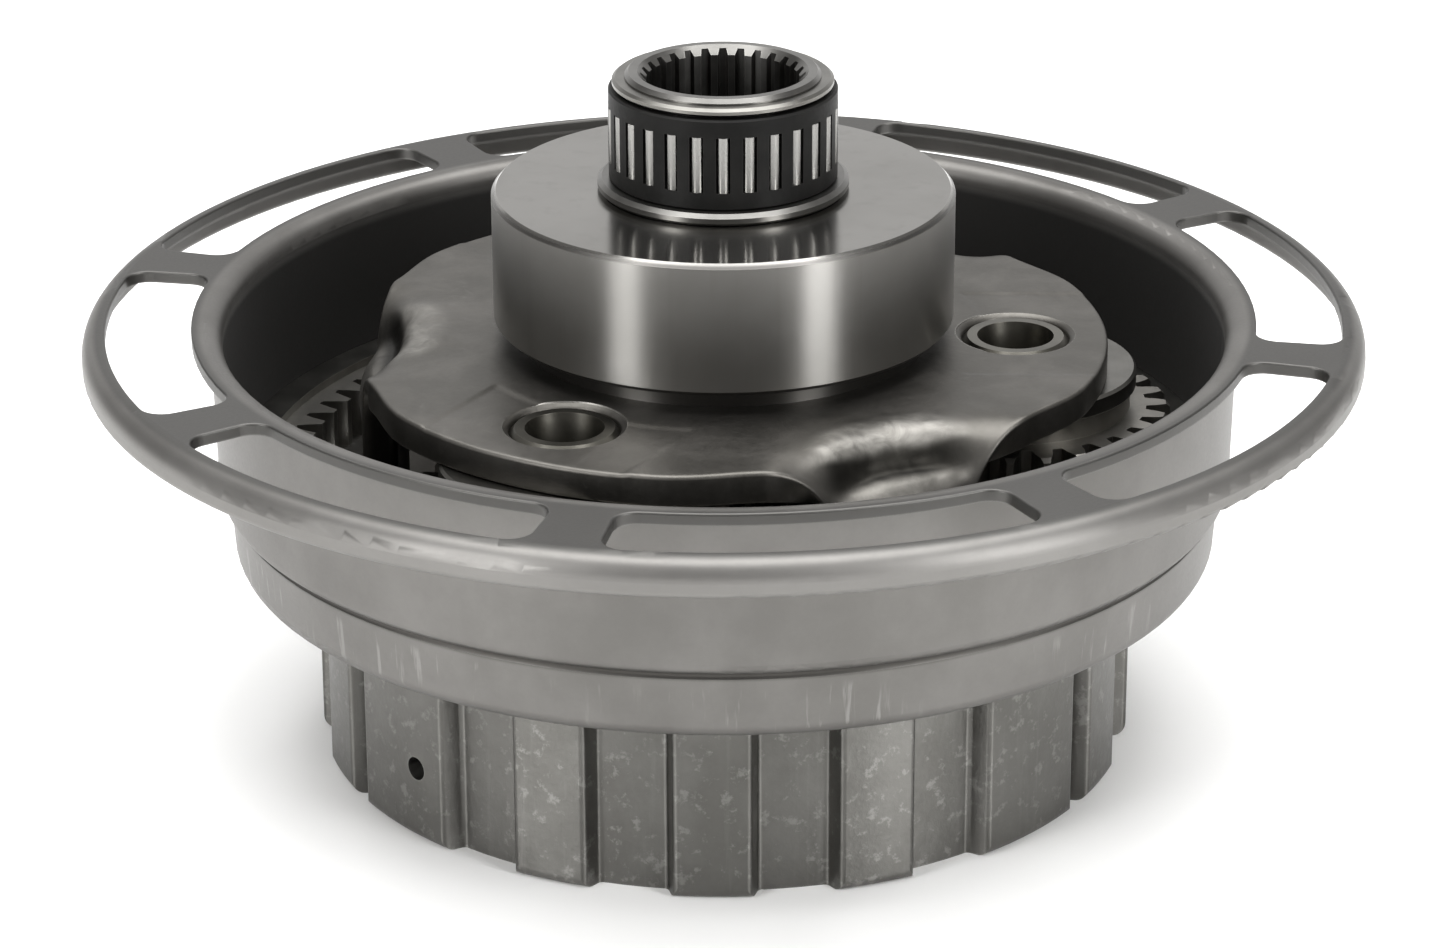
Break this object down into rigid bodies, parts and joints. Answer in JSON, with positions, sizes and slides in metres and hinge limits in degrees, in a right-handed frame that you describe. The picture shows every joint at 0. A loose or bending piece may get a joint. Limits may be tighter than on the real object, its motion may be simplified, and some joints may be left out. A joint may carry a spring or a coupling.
{
  "type": "planetary gear set",
  "caption": "Planetary gear set in a flanged sheet steel drum: ring gear, planet carrier with ground hub, splined sun shaft and lugged clutch hub.",
  "frame": {"origin": "centre of the circle that the open lower end of the lugged hub stands on", "axes": "+Z along the common gear axis, up towards the splined end of the sun shaft; the first planet pin lies 1.35 degrees clockwise of +X"},
  "size_m": [0.236, 0.236, 0.1292],
  "materials": {
    "drum_steel": "satin stamped sheet steel",
    "lug_steel": "shot-blasted sheet steel, dull",
    "gear_steel": "case-hardened gear steel, hobbed and shaved flanks",
    "spring_steel": "blank spring steel",
    "ground_steel": "ground and polished bearing steel",
    "carrier_steel": "forged steel, dark phosphate with worn bright edges",
    "pin_steel": "ground hollow pin",
    "washer_steel": "ground washer steel",
    "shaft_steel": "turned and broached shaft steel",
    "roller_steel": "polished rollers",
    "cage_black": "black oxide sheet steel cage",
    "bronze": "plain bearing bronze"
  },
  "bodies": {
    "drum": {"flanged_drum": "drum_steel", "lugged_hub": "lug_steel", "hub_web": "lug_steel", "web_bushing": "bronze", "carrier_thrust_washer": "bronze", "ring_gear": "gear_steel", "ring_gear_snap_ring": "spring_steel"},
    "carrier": {"carrier_hub": "ground_steel", "carrier_bushing": "bronze", "carrier_upper_plate": "carrier_steel", "carrier_lower_plate": "carrier_steel", "sun_thrust_washer_upper": "washer_steel", "sun_thrust_washer_lower": "washer_steel", "planet_pin_1": "pin_steel", "planet_pin_2": "pin_steel", "planet_pin_3": "pin_steel", "planet_washer_upper_1": "washer_steel", "planet_washer_upper_2": "washer_steel", "planet_washer_upper_3": "washer_steel", "planet_washer_lower_1": "washer_steel", "planet_washer_lower_2": "washer_steel", "planet_washer_lower_3": "washer_steel"},
    "sun": {"sun_shaft": "shaft_steel", "shaft_shoulder_ring": "shaft_steel", "retaining_ring": "spring_steel"},
    "needle_bearing": {"needle_cage": "cage_black", "needle_rollers": "roller_steel"},
    "planet_1": {"planet_gear_1": "gear_steel"},
    "rollers_1": {"planet_rollers_1": "roller_steel"},
    "planet_2": {"planet_gear_2": "gear_steel"},
    "rollers_2": {"planet_rollers_2": "roller_steel"},
    "planet_3": {"planet_gear_3": "gear_steel"},
    "rollers_3": {"planet_rollers_3": "roller_steel"}
  },
  "joints": [
    {"name": "carrier_spin", "type": "hinge", "parent": "drum", "child": "carrier", "pos_m": [0, 0, 0.0786], "axis": [0, 0, 1], "continuous": true},
    {"name": "sun_spin", "type": "hinge", "parent": "drum", "child": "sun", "pos_m": [0, 0, 0.0786], "axis": [0, 0, 1], "continuous": true},
    {"name": "needle_cage_spin", "type": "hinge", "parent": "sun", "child": "needle_bearing", "pos_m": [0, 0, 0.11785], "axis": [0, 0, 1], "continuous": true},
    {"name": "planet_1_spin", "type": "hinge", "parent": "carrier", "child": "planet_1", "pos_m": [0.05398, -0.00127, 0.0545], "axis": [0, 0, 1], "continuous": true},
    {"name": "rollers_1_spin", "type": "hinge", "parent": "carrier", "child": "rollers_1", "pos_m": [0.05398, -0.00127, 0.0545], "axis": [0, 0, 1], "continuous": true},
    {"name": "planet_2_spin", "type": "hinge", "parent": "carrier", "child": "planet_2", "pos_m": [-0.02589, 0.04739, 0.0545], "axis": [0, 0, 1], "continuous": true},
    {"name": "rollers_2_spin", "type": "hinge", "parent": "carrier", "child": "rollers_2", "pos_m": [-0.02589, 0.04739, 0.0545], "axis": [0, 0, 1], "continuous": true},
    {"name": "planet_3_spin", "type": "hinge", "parent": "carrier", "child": "planet_3", "pos_m": [-0.02809, -0.04612, 0.0545], "axis": [0, 0, 1], "continuous": true},
    {"name": "rollers_3_spin", "type": "hinge", "parent": "carrier", "child": "rollers_3", "pos_m": [-0.02809, -0.04612, 0.0545], "axis": [0, 0, 1], "continuous": true}
  ],
  "couplings": [
    {"joint": "sun_spin", "follows": "carrier_spin", "ratio": 4},
    {"joint": "planet_1_spin", "follows": "carrier_spin", "ratio": -3},
    {"joint": "rollers_1_spin", "follows": "carrier_spin", "ratio": -1.6979},
    {"joint": "planet_2_spin", "follows": "carrier_spin", "ratio": -3},
    {"joint": "rollers_2_spin", "follows": "carrier_spin", "ratio": -1.6979},
    {"joint": "planet_3_spin", "follows": "carrier_spin", "ratio": -3},
    {"joint": "rollers_3_spin", "follows": "carrier_spin", "ratio": -1.6979}
  ]
}
